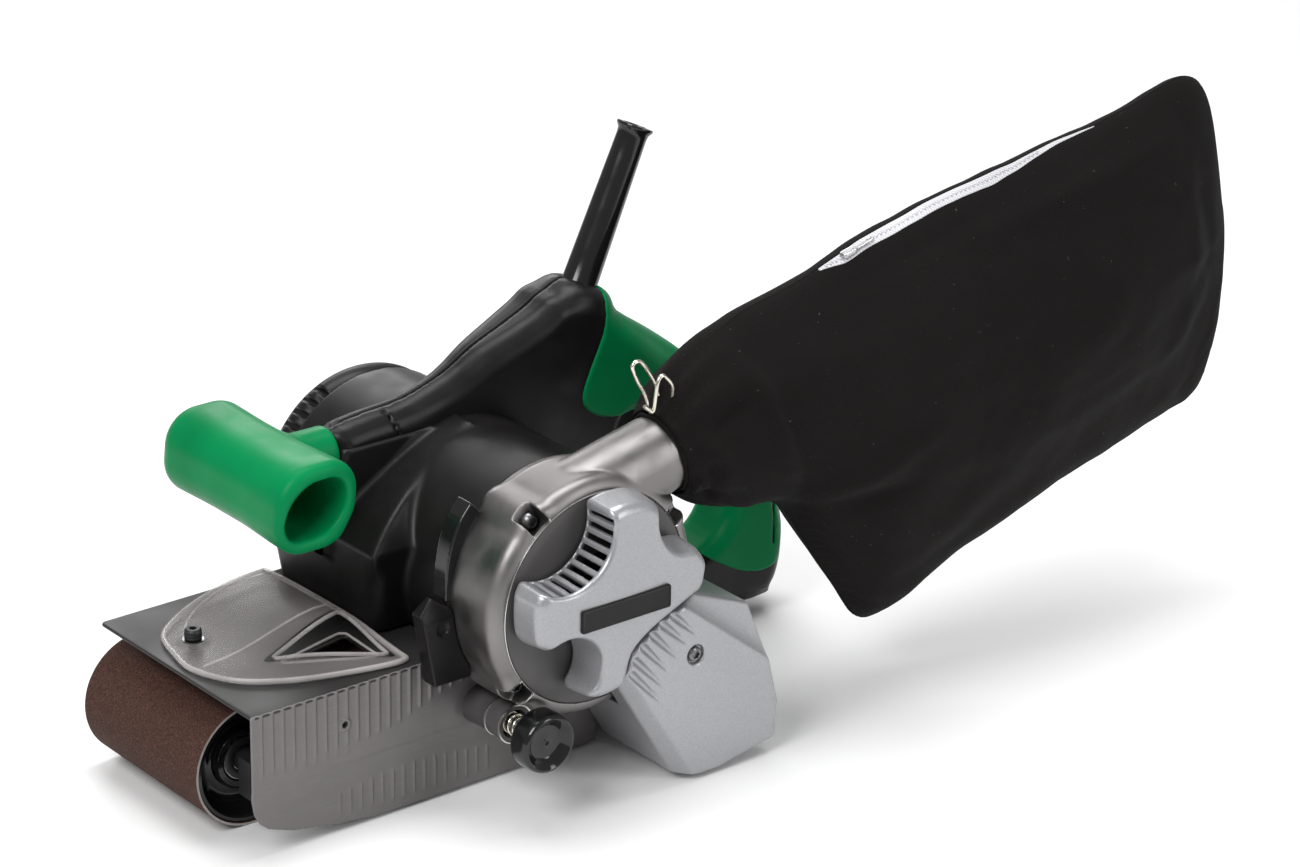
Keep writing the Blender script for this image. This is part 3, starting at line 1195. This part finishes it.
def zip_line(grid):
    """The zip beside the upper seam: a tape that narrows to its ends, a fine row of teeth and the slider."""
    quarter, rows, points = grid.shape[1] // 4, 5, []
    stations = [ring for ring in grid[:, quarter - 4:quarter + 9] if ZIP_START <= ring[4, 0] <= ZIP_END]

    def across(ring, offset):
        """The point of the cloth that lies the offset in front of the upper seam."""
        order = np.argsort(ring[:, 1])
        return np.array([np.interp(BAG_Y - offset, ring[order, 1], ring[order, axis]) for axis in range(3)])

    places = [across(ring, 3.6)[0] for ring in stations]
    for ring, place in zip(stations, places):
        share = (place - places[0]) / (places[-1] - places[0])
        half = 2.7 * min(1, 0.25 + share / 0.1, 0.06 + (1 - share) / 0.42)
        points += [across(ring, 1.4 + half * 2 * k / (rows - 1)) + np.array([0, -0.25,
                                                                             0.75]) for k in range(rows)]
    faces = [(i * rows + k, (i + 1) * rows + k, (i + 1) * rows + k + 1, i * rows + k + 1)
             for i in range(len(stations) - 1) for k in range(rows - 1)]
    tape = mesh_object("zip_tape", points, faces)
    thicken(tape, 2, 0.7, 0)
    piece(tape, "zip_tape", "bag_zip", body="bag")
    line = curve_through([tuple(point + np.array([0, -0.1, 0.45])) for point in points[2::rows]], 3,
                         closed=False)
    teeth, quads = [], []
    walk = np.cumsum([0] + [dist(a, b) for a, b in zip(line, line[1:])])
    for n, along in enumerate(np.arange(4, walk[-1] - 40, 1.5)):
        spot = np.array([np.interp(along, walk, [p[axis] for p in line]) for axis in range(3)])
        spot = spot + np.array([0, 0.35 if n % 2 else -0.35, 0])
        base = len(teeth)
        teeth += [spot + np.array(d) for d in itertools.product((-0.4, 0.4), (-0.55, 0.55), (-0.3, 0.3))]
        quads += [tuple(base + q for q in quad) for quad in
                  ((0, 1, 3, 2), (4, 6, 7, 5), (0, 4, 5, 1), (2, 3, 7, 6), (0, 2, 6, 4), (1, 5, 7, 3))]
    piece(mesh_object("zip_teeth", teeth, quads, smooth=False), "zip_tape", body="bag")
    ax, ay, az = line[12]

    def slider(x, y, z):
        u, v, w = x - ax, y - ay, z - az - 0.24 * (x - ax)
        body = both(rounded_box(u, v, 4.2, 2.6, 1.6), span(w, -0.6, 1.9), 0.6)
        tab = both(rounded_box(u - 9, v + 0.6, 6.5, 1.7, 1.2), span(w - 0.05 * u, 0.6, 1.5), 0.3)
        tab = without(tab, rounded_box(u - 13, v + 0.6, 1.2, 0.7, 0.6))
        return either(body, tab, 0.6)
    piece(skin("zip_slider", slider, (ax - 6, ay - 5, az - 3), (ax + 17, ay + 4, az + 7), 0.35), "steel",
          body="bag")


def neck_parts():
    """Collar band, rolled hem and the sprung wire clip with its two finger loops."""
    axes = Vector((0, 1, 0)), Vector((-sin(TILT), 0, cos(TILT))), NOZZLE_WAY
    band = [(50.5, 19.6), (50.5, 20.4), (52, 20.9), (68, 20.9), (69, 20.4), (69, 19.6)]
    piece(ring_lathe("neck_band", band, NOZZLE, NOZZLE_WAY, 96), "bag_cloth", "bag_collar", body="bag")

    def around(along, radius, angle):
        return tuple(turned(NOZZLE, axes, along, radius, angle))

    hem = [around(46.2 + 0.5 * sin(3 * a + 0.5) + 0.3 * sin(8 * a),
                  20.6 + 0.25 * sin(7 * a) + 0.15 * sin(11 * a + 1), a)
           for a in (2 * pi * k / 120 for k in range(120))]
    piece(wire("neck_hem", hem, 1.15, closed=True), "bag_cloth", body="bag")
    fold = [around(50 + 2.2 * sin(1.7 * a), 24.2 + 1.2 * sin(2.4 * a), a)
            for a in map(radians, range(205, 300, 8))]
    piece(wire("neck_fold", curve_through(fold, 4, closed=False), 2.3), "bag_cloth", body="bag")
    hidden = [around(52.5, 22, radians(a)) for a in range(108, 430, 14)]
    left = [(101.5, 192), (98.5, 200), (93.5, 207.5), (89.7, 212), (86.2, 212.3), (85, 209.4), (88, 202.5),
            (92, 195.7), (95.5, 187)]
    right = [(86.4, 192.3), (89, 190), (91.8, 188.5), (93.2, 196), (94.3, 202.5), (96.4, 205.4), (99, 204.6),
             (103.8, 198.3)]
    line = [(x, -112, z) for x, z in right] + [(105, -110, 190)] + hidden + [(x, -104, z) for x,
                                                                             z in left[::-1]]
    piece(wire("neck_clip", curve_through(line, 5, closed=False), 1.05), "wire_steel", "bag_spring_clip",
          body="bag")


carry_over()
motor_body()
inlet_flange()
end_cap()
handle()
armour()
cross_grip()
fan_case()
face_disc()
intake()
badge()
belt_box()
sheet_cover()
lug()
deflector()
front_wheel()
knob()
fork_spring()
cloth_grid = bag_body()
bag_trim(cloth_grid)
zip_line(cloth_grid)
neck_parts()
